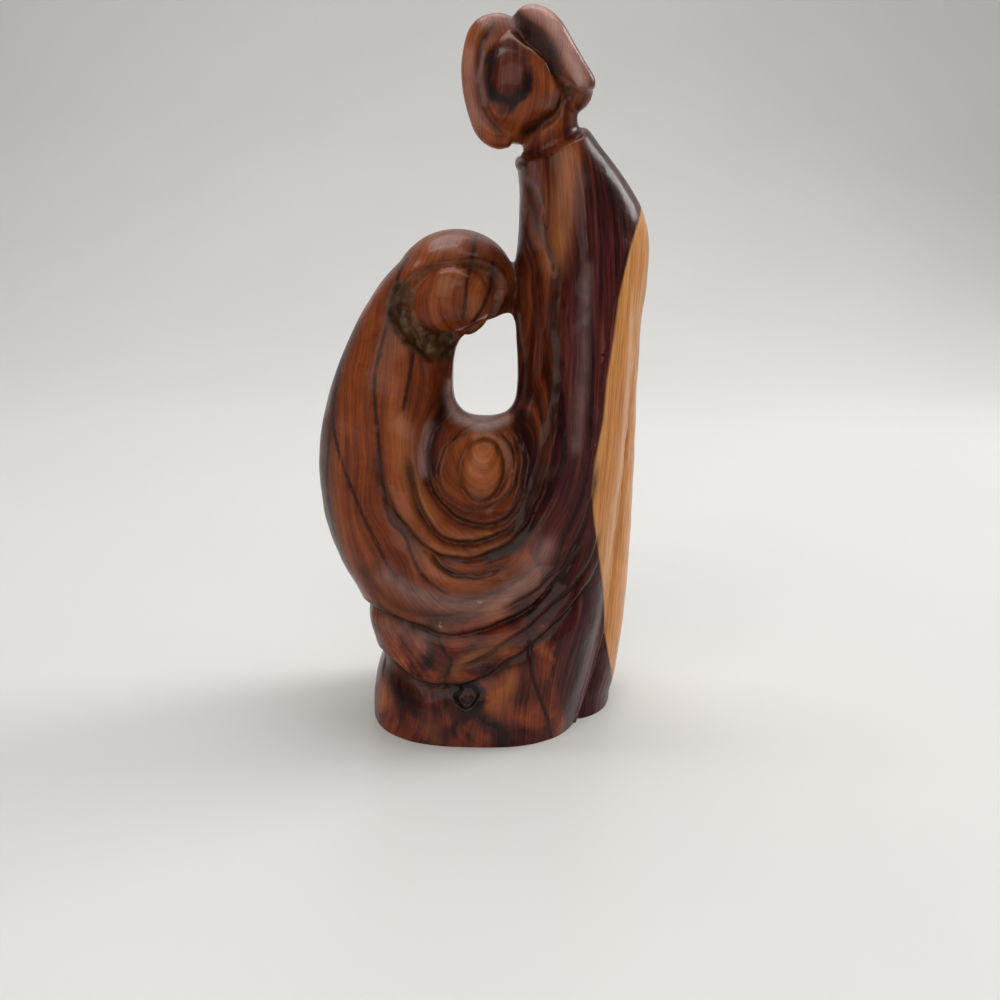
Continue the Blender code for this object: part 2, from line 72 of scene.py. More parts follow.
COLLAR_NORMAL = (-0.55, -0.22, 1.0)


def through(points, count):
    """Smooth line through the points, as evenly spaced rows."""
    p = np.array(points, dtype=float)
    p = np.vstack([2 * p[0] - p[1], p, 2 * p[-1] - p[-2]])
    rows = []
    for i in range(1, len(p) - 2):
        t = np.linspace(0.0, 1.0, 24, endpoint=False)[:, None]
        a = 2 * p[i]
        b = (p[i + 1] - p[i - 1]) * t
        c = (2 * p[i - 1] - 5 * p[i] + 4 * p[i + 1] - p[i + 2]) * t ** 2
        d = (3 * p[i] - p[i - 1] - 3 * p[i + 1] + p[i + 2]) * t ** 3
        rows.append((a + b + c + d) / 2)
    rows = np.vstack(rows + [p[-2:-1]])
    steps = np.linalg.norm(np.diff(rows, axis=0), axis=1)
    along = np.concatenate([[0.0], np.cumsum(steps)])
    even = np.linspace(0.0, along[-1], count)
    return np.column_stack([np.interp(even, along, rows[:, k]) for k in range(rows.shape[1])])


def skin(rings, name):
    """Closed form over a stack of rings."""
    shape = bmesh.new()
    loops = [[shape.verts.new(p) for p in ring] for ring in rings]
    for low, high in zip(loops, loops[1:]):
        for i in range(len(low)):
            j = (i + 1) % len(low)
            shape.faces.new((low[i], low[j], high[j], high[i]))
    shape.faces.new(loops[0][::-1])
    shape.faces.new(loops[-1])
    bmesh.ops.recalc_face_normals(shape, faces=shape.faces)
    mesh = bpy.data.meshes.new(name)
    shape.to_mesh(mesh)
    shape.free()
    piece = bpy.data.objects.new(name, mesh)
    bpy.context.scene.collection.objects.link(piece)
    return piece


def stacked(rows, name, squareness):
    """Upright form from rows of height, left, right, front and back."""
    turn = np.linspace(0.0, 2 * math.pi, 96, endpoint=False)
    c = np.sign(np.cos(turn)) * np.abs(np.cos(turn)) ** (2 / squareness)
    s = np.sign(np.sin(turn)) * np.abs(np.sin(turn)) ** (2 / squareness)
    rings = []
    for z, left, right, front, back in through(rows, 110):
        x = (left + right) / 2 + (right - left) / 2 * c
        y = (front + back) / 2 + (back - front) / 2 * s
        rings.append([(x[i], y[i], z) for i in range(len(turn))])
    return skin(rings, name)


def pick(piece):
    """Make one piece the only selected and active one."""
    bpy.ops.object.select_all(action="DESELECT")
    piece.select_set(True)
    bpy.context.view_layer.objects.active = piece


robe = stacked(ROBE, "robe", 2.25)
pick(robe)
bpy.ops.object.mode_set(mode="EDIT")
bpy.ops.mesh.select_all(action="SELECT")
bpy.ops.mesh.bisect(plane_co=COLLAR_POINT, plane_no=COLLAR_NORMAL, use_fill=True, clear_outer=True)
bpy.ops.object.mode_set(mode="OBJECT")
masses = [robe, stacked(CLOAK, "cloak", 2.6)]

# The bowed figure and the child. The hood, the back and the lap are one leaning mass, rounded
# under the shawl, with the swaddled child as a ball in the lap; the hood is left touching the
# robe, so that the gap below it is bridged.
BOWED_BODY = [
    (16.0, -13.6, 6.0, -12.0, 10.0), (17.6, -15.9, 9.0, -14.6, 12.0), (19.8, -17.7, 12.0, -15.7, 13.0),
    (22.8, -19.7, 14.0, -15.9, 13.4), (25.6, -21.1, 14.0, -15.3, 13.4), (28.4, -22.1, 13.0, -14.6, 13.2),
    (31.0, -22.7, 12.0, -13.9, 12.9), (37.0, -23.3, 10.0, -12.7, 12.4), (42.0, -22.9, 5.0, -12.0, 11.8),
    (45.5, -22.1, -2.2, -11.4, 11.2), (50.0, -20.8, -3.6, -10.8, 10.4), (54.0, -19.2, -3.1, -10.2, 9.6),
    (58.0, -17.3, -2.2, -9.6, 9.0), (62.0, -14.9, -1.0, -9.0, 8.4), (65.0, -12.5, 0.0, -8.2, 7.6),
    (68.0, -9.4, 0.0, -6.0, 5.6),
]
masses.append(stacked(BOWED_BODY, "bowed body", 2.25))


GAP = [(4.6, 59.6), (2.7, 59.0), (0.6, 57.9), (-1.4, 56.8), (-2.8, 55.2), (-3.4, 52.8),
       (-3.5, 50.2), (-3.4, 48.0), (-2.8, 46.4), (-1.5, 45.2), (0.4, 44.8), (2.6, 44.9),
       (4.4, 45.6), (5.4, 47.2), (5.7, 49.4), (5.7, 52.2), (5.5, 55.4), (5.3, 58.0)]


def ball(name, centre, half, tilt):
    """Egg-like mass from a sphere, stretched and tipped."""
    bpy.ops.object.select_all(action="DESELECT")
    bpy.ops.mesh.primitive_uv_sphere_add(segments=64, ring_count=40, radius=1.0, location=centre,
                                         rotation=(0.0, math.radians(tilt), 0.0))
    piece = bpy.context.active_object
    piece.name = name
    piece.scale = half
    bpy.ops.object.transform_apply(location=True, rotation=True, scale=True)
    return piece


masses.append(ball("hood", (-3.5, 0.0, 62.9), (8.8, 9.2, 8.0), -15.0))
masses.append(ball("brow bridge", (3.6, 0.6, 63.2), (2.8, 5.6, 3.4), 0.0))
masses.append(ball("child", (0.9, -4.6, 36.8), (8.4, 7.6, 8.0), 0.0))
masses.append(ball("web", (1.0, 0.3, 51.5), (7.8, 6.4, 10.8), 0.0))

# The standing figure's head. A skull and a blank egg of a face, with a slim roll of hair down the
# left cheek, a fuller one curling out at the right, a second curl below it, and a leaning neck.
masses.append(ball("skull", (5.5, 1.0, 90.9), (7.4, 8.4, 7.5), -6.0))
masses.append(ball("face", (4.6, -1.4, 89.1), (5.8, 7.1, 6.8), 0.0))
HAIR = [
    [(4.3, -2.8, 96.5, 1.0), (2.6, -3.0, 96.7, 1.9), (0.4, -3.2, 95.7, 2.2), (-0.6, -3.2, 93.4, 2.0),
     (-0.9, -3.2, 90.5, 1.8), (-0.4, -3.2, 87.1, 1.7), (0.8, -3.4, 84.2, 1.8), (2.5, -3.6, 83.0, 1.7),
     (4.2, -3.6, 82.9, 1.2)],
    [(4.4, -3.4, 97.2, 1.1), (6.3, -3.4, 97.4, 2.3), (8.6, -3.4, 96.0, 2.5), (10.6, -3.4, 93.5, 2.2),
     (12.3, -3.5, 91.2, 2.1), (13.3, -3.6, 89.7, 2.1), (13.5, -3.6, 88.9, 1.7)],
    [(9.6, 0.6, 92.6, 3.2), (11.8, -0.6, 90.6, 3.0), (12.6, -1.2, 89.2, 2.6), (12.4, -1.4, 88.2, 2.1),
     (11.8, -1.4, 87.6, 1.4)],
]
NECK = [(9.5, 0.0, 76.0, 3.8), (9.6, -0.4, 81.0, 3.7), (9.4, -0.4, 85.0, 3.9), (8.8, 0.0, 88.0, 4.3)]


def rolled(rows, name):
    """Roll of changing thickness along a bent line."""
    side = Vector((0.0, 1.0, 0.0))
    path = through(rows, 40)
    rings = []
    for i, (x, y, z, radius) in enumerate(path):
        ahead = path[min(i + 1, len(path) - 1)][:3] - path[max(i - 1, 0)][:3]
        over = Vector(ahead).cross(side).normalized()
        rings.append([Vector((x, y, z)) + (math.cos(a) * side + math.sin(a) * over) * float(radius)
                      for a in np.linspace(0.0, 2 * math.pi, 32, endpoint=False)])
    return skin(rings, name)


for rows in HAIR:
    masses.append(rolled(rows, "hair"))
masses.append(rolled(NECK, "neck"))

# One carving. The masses run into each other as one piece of wood, worked over with the rasp so
# that nothing is left of the saw cuts. The surface is laid out finely enough for the knife work.
bpy.ops.object.select_all(action="DESELECT")
for mass in masses:
    mass.select_set(True)
bpy.context.view_layer.objects.active = masses[0]
bpy.ops.object.join()
carving = bpy.context.active_object
carving.name = "carved_family"


def worked(piece, kind, **settings):
    """Add one modifier and apply it."""
    pick(piece)
    modifier = piece.modifiers.new(kind.title(), kind)
    for key, value in settings.items():
        setattr(modifier, key, value)
    bpy.ops.object.modifier_apply(modifier=modifier.name)


worked(carving, "REMESH", mode="VOXEL", voxel_size=0.24)
path = through(GAP + GAP[:1], 64)[:-1]
middle = path.mean(axis=0)
rings = []
for y in (-25.0, -15.0, -12.0, -9.0, -7.0, -5.0, -3.0, -1.0, 1.0, 3.0, 6.0, 9.0, 25.0):
    spread = 0.43 * min(abs(y + 3.0) / 9.0, 1.3) ** 2
    lips = spread * np.clip((middle[1] + 3.0 - path[:, 1]) / 5.0, 0.0, 1.0)
    wider = path + (path - middle) * lips[:, None]
    rings.append([(x, y, z) for x, z in wider])
plug = skin(rings, "plug")
worked(carving, "BOOLEAN", operation="DIFFERENCE", solver="EXACT", object=plug)
bpy.data.objects.remove(plug, do_unlink=True)
worked(carving, "REMESH", mode="VOXEL", voxel_size=0.24)
worked(carving, "SMOOTH", factor=0.5, iterations=16)

# The folds. Cloth edges stand proud with a hollow cut below them, the sleeve and lap folds swing
# in a bowl round the child, and the back is simpler. Lines are x, z as seen from the front.
SHAWL_EDGE = [(-19.2, 15.4), (-17.2, 17.2), (-15.2, 18.6), (-12.6, 18.6), (-10.1, 17.6),
              (-7.3, 16.9), (-4.3, 16.4), (-1.4, 16.5), (1.6, 17.2), (6.3, 19.3),
              (9.0, 21.3), (11.4, 23.7), (13.2, 26.0), (14.8, 28.2), (16.0, 31.5)]
SHAWL_BAND = [(3.4, 19.8), (7.8, 22.2), (10.0, 23.9), (12.1, 26.2), (13.9, 28.9), (15.2, 31.8), (16.2, 36.0),
              (16.8, 41.0)]
LAP_EDGE = [(-17.0, 8.4), (-15.2, 10.2), (-13.0, 11.3), (-11.4, 10.6), (-9.0, 9.4), (-6.7, 8.9), (-4.0, 9.0),
            (0.9, 9.9), (5.4, 12.7), (8.9, 15.2), (13.2, 19.1), (16.8, 23.7), (18.6, 28.5)]
LAP_FOLD = [(-3.7, 11.7), (-1.5, 11.9), (1.4, 13.2), (5.3, 15.7), (9.6, 18.8), (13.1, 21.9), (16.4, 26.2),
            (17.6, 32.0)]
ARM_FOLD = [(-13.4, 44.0), (-12.8, 37.8), (-10.9, 33.2), (-7.6, 29.4), (-3.9, 27.2), (0.9, 27.1), (4.8, 28.8),
            (7.9, 32.5), (9.4, 37.0), (10.2, 44.0)]
SLEEVE_FOLD = [(-9.2, 42.0), (-8.2, 36.8), (-6.9, 32.6), (-3.9, 29.7), (0.3, 29.2), (4.2, 30.6), (6.4, 33.2)]
LAP_CREASE = [(-5.8, 28.6), (-5.0, 26.6), (-3.3, 25.2), (-1.5, 24.7), (0.9, 24.7), (3.0, 25.2), (6.0, 26.6)]
SWADDLE_RIM = [(-3.6, 46.2), (-5.8, 43.8), (-6.5, 40.0), (-5.6, 36.1), (-2.4, 32.7), (1.8, 31.3), (5.5, 33.6),
               (6.9, 38.2), (6.0, 42.6), (4.2, 45.0)]
SWADDLE_CENTRE = (0.4, 38.6)
SWADDLE_HALF = (5.3, 5.1)
CHILD_FACE = (1.1, 38.5)
CHILD_FACE_HALF = (3.0, 4.1)
HOOD_OPENING = [(-12.2, 58.7), (-10.7, 56.7), (-9.0, 55.1), (-7.3, 53.8), (-5.9, 53.0),
                (-3.8, 54.6), (-2.6, 56.0), (2.0, 58.4), (3.6, 60.7), (4.1, 63.4), (3.0, 65.5),
                (0.2, 67.0), (-3.0, 66.6), (-5.3, 66.2), (-7.8, 65.3), (-9.5, 64.2), (-11.4, 61.8)]
BOWED_FACE = (-3.1, 61.3)
BOWED_FACE_HALF = (5.5, 4.8)
CHIN_HOLLOW = [(-10.4, 61.8), (-10.6, 59.2), (-9.2, 57.2), (-7.0, 55.6), (-4.6, 54.8)]
SKIRT_EDGE = [(15.0, -2.0), (16.6, 3.0), (17.9, 7.0), (18.8, 11.0), (19.6, 16.0), (20.2, 21.0), (20.6, 27.0),
              (21.0, 34.0), (21.4, 42.0), (21.6, 50.0), (21.6, 58.0)]
FRONT_PANEL = [(12.0, 68.8), (11.4, 66.0), (10.6, 61.6), (10.7, 57.6), (10.9, 51.0),
               (10.6, 45.5), (9.5, 37.7), (8.6, 34.3), (7.3, 31.6), (4.8, 29.2)]
FRONT_FLUTE = [(6.5, 76.7), (6.9, 70.0), (7.6, 63.0), (8.4, 57.0), (9.0, 49.0), (8.8, 41.4)]
SLEEVE_SLIT = [(6.4, 78.0), (7.9, 72.7), (9.0, 69.5), (10.2, 66.6), (10.5, 64.0)]
ROBE_CREST = [(12.9, 78.0), (13.8, 69.5), (14.7, 61.8), (15.1, 55.0), (15.2, 48.6),
              (14.9, 41.0), (13.6, 34.0)]
SIDE_FLUTE = [(22.3, 66.0), (22.2, 58.0), (22.0, 48.0), (21.6, 36.0), (21.0, 24.0), (20.4, 14.0)]
HAIR_LEFT = [(3.4, 97.6), (1.7, 96.4), (0.6, 94.8), (0.1, 93.2), (-0.1, 91.2), (0.1, 88.5), (0.8, 86.0),
             (2.2, 84.0), (4.3, 82.9)]
HAIR_RIGHT = [(3.8, 97.2), (5.5, 95.1), (7.1, 94.2), (9.2, 92.5), (10.6, 90.4), (11.8, 88.9), (13.2, 88.6)]
JAW = [(11.2, 88.8), (10.7, 87.4), (9.8, 85.9), (7.7, 84.0), (5.0, 83.0)]
COLLAR_CORNER = (5.0, 80.2)
CORNER_HALF = (1.7, 1.4)
SHAWL_BACK = [(-19.2, 15.4), (-17.0, 17.4), (-12.0, 17.6), (-6.0, 17.8), (0.0, 19.6),
              (5.0, 23.0), (8.6, 28.0), (10.4, 35.0), (10.8, 43.0)]
LAP_BACK = [(-17.0, 8.4), (-14.6, 10.4), (-10.0, 10.6), (-4.0, 10.8), (3.0, 12.8), (8.6, 16.6), (12.2, 23.0),
            (13.4, 31.0)]
BACK_FOLDS = [
    [(-19.0, 48.0), (-18.6, 38.0), (-14.6, 28.6), (-7.0, 24.0), (1.0, 24.6)],
    [(-14.6, 54.0), (-14.4, 42.0), (-10.6, 33.0), (-4.0, 29.4), (3.6, 31.4)],
]
BACK_FLUTES = [
    [(9.0, 76.0), (9.4, 62.0), (10.2, 50.0), (12.0, 38.0)],
    [(14.0, 78.0), (14.6, 60.0), (15.4, 40.0), (16.0, 20.0), (15.6, 4.0)],
    [(19.0, 73.0), (19.8, 56.0), (20.0, 38.0), (19.6, 20.0), (19.0, 4.0)],
]
BACK_HAIR = [
    [(2.6, 97.0), (0.6, 92.0), (1.2, 86.0)],
    [(5.6, 98.0), (5.0, 91.0), (6.0, 84.5)],
    [(8.6, 97.0), (9.8, 91.0), (10.6, 86.5)],
]


def ease(value):
    value = np.clip(value, 0.0, 1.0)
    return value * value * (3 - 2 * value)


def near(line, x, z, reach):
    """Distance to a carved line, side of it (+ left of its run) and place along it from 0 to 1."""
    path = through(line, 12 * len(line))
    best = np.full(len(x), 1e3)
    side = np.zeros(len(x))
    along = np.zeros(len(x))
    close = ((x > path[:, 0].min() - reach) & (x < path[:, 0].max() + reach)
             & (z > path[:, 1].min() - reach) & (z < path[:, 1].max() + reach))
    cx = x[close]
    cz = z[close]
    b = best[close]
    s = side[close]
    a = along[close]
    for i in range(len(path) - 1):
        ax, az = path[i]
        dx, dz = path[i + 1] - path[i]
        t = np.clip(((cx - ax) * dx + (cz - az) * dz) / (dx * dx + dz * dz), 0.0, 1.0)
        gap = np.hypot(cx - ax - t * dx, cz - az - t * dz)
        closer = gap < b
        b = np.where(closer, gap, b)
        s = np.where(closer, np.sign(dx * (cz - az) - dz * (cx - ax)), s)
        a = np.where(closer, (i + t) / (len(path) - 1), a)
    best[close] = b
    side[close] = s
    along[close] = a
    return best, side, along


def ends(along, first, last):
    """Fade a line in over its first share and out over its last; a closed line doesn't fade."""
    if first + last == 0:
        return 1.0
    return ease(along / max(first, 1e-6)) * ease((1 - along) / max(last, 1e-6))


def crease(x, z, line, depth, width, first=0.15, last=0.15):
    gap, side, along = near(line, x, z, 4 * width)
    return -depth * np.exp(-((gap / width) ** 2)) * ends(along, first, last)


def overlap(x, z, line, rise, drop, above, below, first=0.12, last=0.2):
    """Cloth edge, proud on the left of the line's run, with a hollow under it."""
    gap, side, along = near(line, x, z, 5 * max(above, below))
    signed = gap * side
    upper = ease(signed / 0.8 + 0.5)
    lifted = rise * np.exp(-gap / above) * upper
    sunk = drop * np.exp(-gap / below) * (1 - upper)
    return (lifted - sunk) * ends(along, first, last)


def swell(x, z, centre, half, rise):
    """Dome standing up inside an oval."""
    across = ((x - centre[0]) / half[0]) ** 2 + ((z - centre[1]) / half[1]) ** 2
    return rise * np.sqrt(np.clip(1.0 - across, 0.0, 1.0))


def hollow(x, z, outline, depth, slope):
    """Floor let in all over a closed outline that runs with its inside on the left."""
    gap, side, along = near(outline + outline[:1], x, z, 12.0)
    return -depth * ease(gap * side / slope)


def ring(centre, half):
    """Oval line that closes on itself."""
    return [(centre[0] + half[0] * math.cos(a), centre[1] + half[1] * math.sin(a))
            for a in np.linspace(0.0, 2 * math.pi, 17)]


def surface(piece):
    """Points and normals of the piece as rows."""
    count = len(piece.data.vertices)
    points = np.zeros(count * 3)
    normals = np.zeros(count * 3)
    piece.data.vertices.foreach_get("co", points)
    piece.data.vertices.foreach_get("normal", normals)
    return points.reshape(-1, 3), normals.reshape(-1, 3)


points, normals = surface(carving)
y = points[:, 1]
waver = np.array([noise.noise_vector(Vector(p) * 0.2) + noise.noise_vector(Vector(p) * 0.5) * 0.5
                  for p in points])
x = points[:, 0] + 0.45 * waver[:, 0]
z = points[:, 2] + 0.45 * waver[:, 1]
facing = ease((0.3 - normals[:, 1]) / 0.6)
front = np.zeros(len(points))
front += overlap(x, z, SHAWL_EDGE, 0.8, 1.3, 2.0, 1.4, 0.22, 0.3)
front += overlap(x, z, SHAWL_BAND, 0.4, 0.6, 1.2, 0.7)
front += overlap(x, z, LAP_EDGE, 0.7, 1.2, 1.8, 1.4, 0.22, 0.3)
front += overlap(x, z, LAP_FOLD, 0.45, 0.6, 1.0, 0.8)
front += overlap(x, z, ARM_FOLD, 0.6, 0.8, 1.2, 1.2, 0.3, 0.3)
front += overlap(x, z, SLEEVE_FOLD, 0.9, 1.1, 1.0, 0.8, 0.35, 0.2)
front += crease(x, z, LAP_CREASE, 0.6, 0.6, 0.2, 0.3)
front += overlap(x, z, SWADDLE_RIM, 0.6, 0.8, 0.8, 1.1, 0.05, 0.05)
front += overlap(x, z, ring(SWADDLE_CENTRE, SWADDLE_HALF), 0.55, 0.4, 1.2, 0.6, 0.0, 0.0)
front += swell(x, z, CHILD_FACE, CHILD_FACE_HALF, 0.9)
front += crease(x, z, ring(CHILD_FACE, CHILD_FACE_HALF), 0.35, 0.5, 0.0, 0.0)
front += hollow(x, z, HOOD_OPENING, 1.3, 0.9)
front += swell(x, z, BOWED_FACE, BOWED_FACE_HALF, 2.7)
front += crease(x, z, CHIN_HOLLOW, 0.9, 1.3)
front += overlap(x, z, SKIRT_EDGE, 0.3, 0.9, 1.8, 1.2, 0.02, 0.35)
front += crease(x, z, FRONT_PANEL, 0.9, 1.0)
front += crease(x, z, FRONT_FLUTE, 0.4, 0.8)
front += crease(x, z, SLEEVE_SLIT, 0.5, 0.6)
front -= crease(x, z, ROBE_CREST, 0.5, 1.5)
front += crease(x, z, SIDE_FLUTE, 0.35, 0.8)
front += crease(x, z, HAIR_LEFT, 0.45, 0.7)
front += crease(x, z, HAIR_RIGHT, 1.0, 0.7)
front += crease(x, z, JAW, 0.6, 0.5)
front += swell(x, z, COLLAR_CORNER, CORNER_HALF, 0.6)
back = np.zeros(len(points))
back += overlap(x, z, SHAWL_BACK, 0.8, 1.2, 2.0, 1.5, 0.22, 0.3)
back += overlap(x, z, LAP_BACK, 0.7, 1.1, 1.8, 1.5, 0.22, 0.3)
for line in BACK_FOLDS:
    back += overlap(x, z, line, 0.5, 0.7, 1.6, 1.4, 0.3, 0.3)
for line in BACK_FLUTES:
    back += crease(x, z, line, 0.8, 1.5, 0.2, 0.15)
for line in BACK_HAIR:
    back += crease(x, z, line, 0.5, 0.9)
relief = (front * facing + back * (1 - facing)) * (1.0 + 0.35 * waver[:, 2])
carving.data.vertices.foreach_set("co", (points + normals * relief[:, None]).ravel())
carving.data.update()
worked(carving, "SMOOTH", factor=0.5, iterations=2)

# Knife and knot. The hollow beside the bowed face is left as rough gouge pits, a dead knot has
# shrunk in the foot, and one drying crack runs down beside it.
KNOT = (-0.4, 7.2)
CRACK = [(7.6, 17.2), (8.1, 15.1), (8.2, 12.8), (8.7, 10.0), (9.9, 6.5), (11.0, 3.1)]
CHIPS = [(1.1, 20.8), (-4.3, 17.6)]

points, normals = surface(carving)
x, y, z = points.T
facing = ease((0.1 - normals[:, 1]) / 0.4)
in_face = swell(x, z, BOWED_FACE, BOWED_FACE_HALF, 1.0) > 0.2
pits = ease((2.2 - near(CHIN_HOLLOW, x, z, 8.0)[0]) / 1.0) * facing * ~in_face
gouge = np.zeros(len(points))
for i in np.nonzero(pits > 0.01)[0]:
    gouge[i] = min(noise.voronoi(Vector(points[i]) * 0.62)[0][0], 0.8) * 0.55 - 0.25
ragged = 0.9 * np.array([noise.noise(Vector(p) * 0.55) for p in points])
knot_reach = np.hypot(x - KNOT[0], (z - KNOT[1]) * 1.08) + ragged
knot = 0.3 * np.exp(-((knot_reach / 0.7) ** 2)) - 0.45 * ease((2.0 - knot_reach) / 0.8)
fine = gouge * pits + knot * facing * (y < 0)
fine += crease(x, z, CRACK, 0.22, 0.3, 0.2, 0.35) * facing * (y < 0)
fine += 0.09 * np.array([noise.noise(Vector(p) * 0.30) for p in points])
carving.data.vertices.foreach_set("co", (points + normals * fine[:, None]).ravel())
carving.data.update()
worked(carving, "TRIANGULATE")
worked(carving, "DECIMATE", decimate_type="COLLAPSE", ratio=min(1.0, 190000 / len(carving.data.polygons)))

# The foot is sawn flat, and the carving is set on the floor at its real height.
pick(carving)
bpy.ops.object.mode_set(mode="EDIT")
bpy.ops.mesh.select_all(action="SELECT")
bpy.ops.mesh.bisect(plane_co=(0, 0, 0), plane_no=(0, 0, -1), use_fill=True, clear_outer=True)
bpy.ops.object.mode_set(mode="OBJECT")
points, normals = surface(carving)
low = points.min(axis=0)
high = points.max(axis=0)
box_low = np.array(solid_box[0])
box_high = np.array(solid_box[1])
HUNDREDTH = (box_high[2] - box_low[2]) / (high[2] - low[2])
shift = (box_low + box_high) / 2 - (low + high) / 2 * HUNDREDTH
shift[2] = box_low[2] - low[2] * HUNDREDTH
x, y, z = points.T

# The wood's figure. The heart runs dark brown up the robe, the sap along the right edge is honey
# coloured, black lines mark old wounds, and the grain swings in a bowl round the child. Painted shade
# for the folds and a painted sheen for the ridges are laid out here too. Each is kept as one number
# at every point of the surface, and the finish reads them.
SAP_EDGE = [(4.0, 21.2), (9.4, 20.0), (13.0, 19.2), (20.0, 18.6), (25.0, 17.6), (31.5, 16.4), (36.0, 15.8),
            (40.3, 16.1), (45.8, 17.0), (51.2, 17.3), (56.5, 18.0), (61.8, 18.5), (65.7, 19.3), (69.7, 20.3),
            (75.0, 22.2), (80.0, 26.0)]
HEART_EDGE = [(0.0, 13.6), (5.0, 12.8), (9.0, 11.4), (14.0, 11.2), (19.0, 10.6), (24.0, 9.4),
              (28.0, 7.6), (32.0, 8.6), (36.0, 9.6), (42.0, 10.6), (50.0, 10.8), (58.0, 11.2),
              (66.0, 11.6), (73.6, 11.9), (79.0, 13.1), (84.0, 14.6), (90.0, 15.6)]
VEINS = [
    [(-9.8, 66.6), (-10.6, 65.5), (-11.2, 62.4), (-11.8, 59.4), (-12.8, 55.8), (-13.3, 53.5),
     (-13.8, 50.3), (-13.6, 46.0), (-13.2, 42.3), (-12.6, 36.5), (-11.6, 31.6), (-9.6, 29.7),
     (-8.5, 27.2), (-7.2, 24.8), (-5.1, 22.9), (-2.7, 21.6)],
    [(-20.4, 47.0), (-19.6, 42.0), (-17.9, 37.0), (-15.8, 32.6), (-13.4, 28.2), (-12.2, 26.1), (-10.4, 23.6),
     (-8.3, 22.3), (-5.6, 21.2), (-2.5, 20.9), (0.7, 21.4), (2.8, 22.0), (6.0, 23.6), (9.4, 26.4)],
    [(-8.4, 55.6), (-8.8, 52.8), (-9.4, 49.3), (-9.9, 46.6)],
    [(-0.4, 70.4), (-0.8, 67.2), (-1.4, 63.9), (-1.6, 61.3), (-1.9, 59.0)],
    [(1.9, 66.4), (1.9, 64.4), (1.5, 62.4), (0.7, 60.4), (-0.6, 58.4)],
    [(-4.6, 15.2), (-3.9, 13.8), (-2.8, 12.4), (-3.2, 10.8), (-3.6, 8.8), (-3.4, 5.6)],
    [(-17.7, 58.4), (-18.6, 55.6), (-19.6, 49.9), (-20.4, 44.1), (-20.9, 39.7), (-21.2, 35.2), (-20.4, 29.2),
     (-18.7, 23.0), (-15.5, 18.1)],
    [(7.7, 16.6), (8.1, 15.1), (8.2, 12.8), (8.7, 10.0), (9.9, 6.5), (11.0, 3.1), (11.6, 0.0)],
]
# Dark stains in the wood, and painted shade in the pocket between the left arm and the child.
STAINS_AND_SHADE = [
    ([(-17.6, 57.5), (-20.4, 50.5), (-22.3, 43.0), (-22.6, 36.0), (-21.4, 28.5), (-18.6, 22.0)], 1.5, 0.75),
    ([(-4.2, 47.5), (-4.9, 45.7), (-5.5, 43.6), (-6.0, 41.1), (-5.7, 38.5)], 1.1, 0.85),
    ([(6.0, 46.0), (7.6, 42.0), (8.0, 38.0), (7.2, 33.6), (5.8, 30.6)], 1.2, 0.8),
    ([(2.4, 26.9), (3.9, 27.5), (6.4, 28.8), (8.0, 31.4)], 1.0, 0.9),
    ([(5.4, 70.0), (5.2, 62.0), (5.6, 54.0), (6.2, 47.0)], 1.1, 0.6),
    ([(-15.4, 24.0), (-11.4, 20.0), (-6.0, 18.8), (-1.0, 18.6)], 0.9, 0.55),
    ([(5.6, 18.4), (7.1, 19.8), (8.2, 18.4), (8.4, 16.2)], 1.2, 0.9),
    ([(0.8, 5.0), (2.6, 3.6), (4.2, 2.6), (4.4, 0.6)], 1.4, 1.0),
    ([(-8.6, 16.6), (-6.0, 16.4)], 1.1, 0.7),
    ([(-12.0, 8.2), (-10.0, 6.2), (-8.0, 5.4)], 1.9, 0.75),
    ([(1.8, 10.0), (3.6, 10.6), (6.0, 12.2)], 0.8, 0.7),
    ([(-7.2, 4.0), (-4.6, 2.0)], 1.3, 0.5),
    ([(-13.0, 24.6), (-7.6, 22.0), (-1.6, 21.2), (4.0, 22.4), (8.6, 26.0)], 1.6, 0.5),
    ([(-3.4, 11.0), (-3.9, 8.4), (-3.0, 5.4), (-0.6, 4.2)], 1.0, 0.7),
]
# Pale golden patches: partly paler figure in the wood, partly painted highlight, as on the right roll of hair
# and the front of the sleeve.
PALE_WOOD_AND_SHEEN = [
    ([(-10.2, 46.0), (-9.8, 41.4), (-9.0, 37.6), (-7.3, 34.4), (-5.8, 31.9)], 1.2, 0.7),
    ([(-4.6, 30.5), (-1.4, 29.6), (2.1, 30.0)], 0.6, 0.8),
    ([(-5.6, 28.5), (-2.2, 27.4), (0.4, 27.5), (3.2, 28.7)], 0.5, 0.6),
    ([(-2.6, 11.0), (-1.0, 12.3), (1.4, 13.3), (4.3, 14.5)], 0.9, 0.8),
    ([(-4.0, 16.3), (-3.9, 16.2)], 1.0, 0.75),
    ([(2.6, 19.6), (4.0, 20.6), (5.0, 21.4)], 0.8, 0.7),
    ([(11.8, 80.0), (11.2, 75.0), (10.8, 70.0), (10.2, 66.6)], 1.5, 0.75),
    ([(-1.7, 96.5), (-2.0, 92.0)], 1.1, 0.6),
    ([(10.2, 93.0), (11.4, 91.0)], 0.9, 0.6),
    ([(3.0, 5.8), (4.8, 8.0), (5.4, 10.2)], 1.4, 0.6),
    ([(-5.6, 2.6), (-4.8, 0.8)], 0.9, 0.5),
    ([(-2.4, 65.2), (-5.2, 62.4)], 1.6, 0.35),
]
